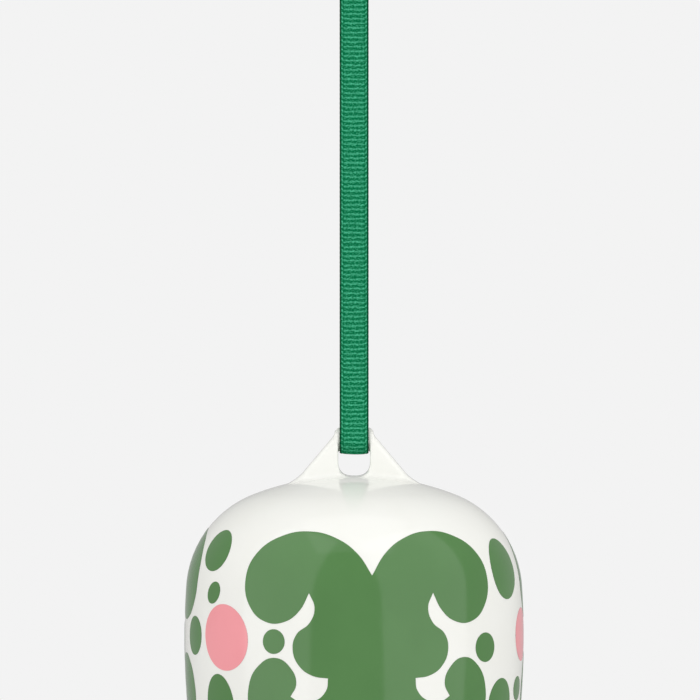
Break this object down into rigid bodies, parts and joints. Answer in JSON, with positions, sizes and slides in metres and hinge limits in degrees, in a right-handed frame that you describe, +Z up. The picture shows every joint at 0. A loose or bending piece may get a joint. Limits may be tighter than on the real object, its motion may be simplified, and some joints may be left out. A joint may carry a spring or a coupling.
{
  "type": "hanging bell ornament",
  "caption": "Glazed porcelain bell with a lug on its crown, hung on a loop of grosgrain ribbon, with a porcelain bead clapper on a wire pin inside.",
  "frame": {"origin": "inside top of the ribbon loop, where the hook carries it", "axes": "+Z up along the hanging axis; the lug's flat faces and the ribbon's flat sides look along -Y (front) and +Y; +X to the right, along the cross bar"},
  "size_m": [0.071, 0.071, 0.1869],
  "materials": {
    "porcelain": "clear glossy glaze over warm white porcelain, with green and pink decoration under it",
    "brass_wire": "drawn wire, softly tarnished",
    "grosgrain": "green polyester ribbon with fine cross ribs and bound edges",
    "sewing_thread": "twisted green polyester thread"
  },
  "bodies": {
    "ribbon": {"ribbon_loop": "grosgrain", "seam_thread": "sewing_thread"},
    "bell": {"bell_shell": "porcelain", "hanging_lug": "porcelain", "clapper_eye": "porcelain"},
    "ring": {"jump_ring": "brass_wire"},
    "clapper": {"clapper_pin": "brass_wire", "clapper_bead": "porcelain", "bead_crimp": "brass_wire"}
  },
  "joints": [
    {"name": "bell_swing", "type": "hinge", "parent": "ribbon", "child": "bell", "pos_m": [0, 0, -0.104], "axis": [1, 0, 0], "range_deg": [-30, 30]},
    {"name": "ring_swing", "type": "hinge", "parent": "bell", "child": "ring", "pos_m": [0, 0, -0.1208], "axis": [1, 0, 0], "range_deg": [-26, 26]},
    {"name": "clapper_swing", "type": "hinge", "parent": "ring", "child": "clapper", "pos_m": [0, 0, -0.12525], "axis": [0, 1, 0], "range_deg": [-12, 12]}
  ]
}
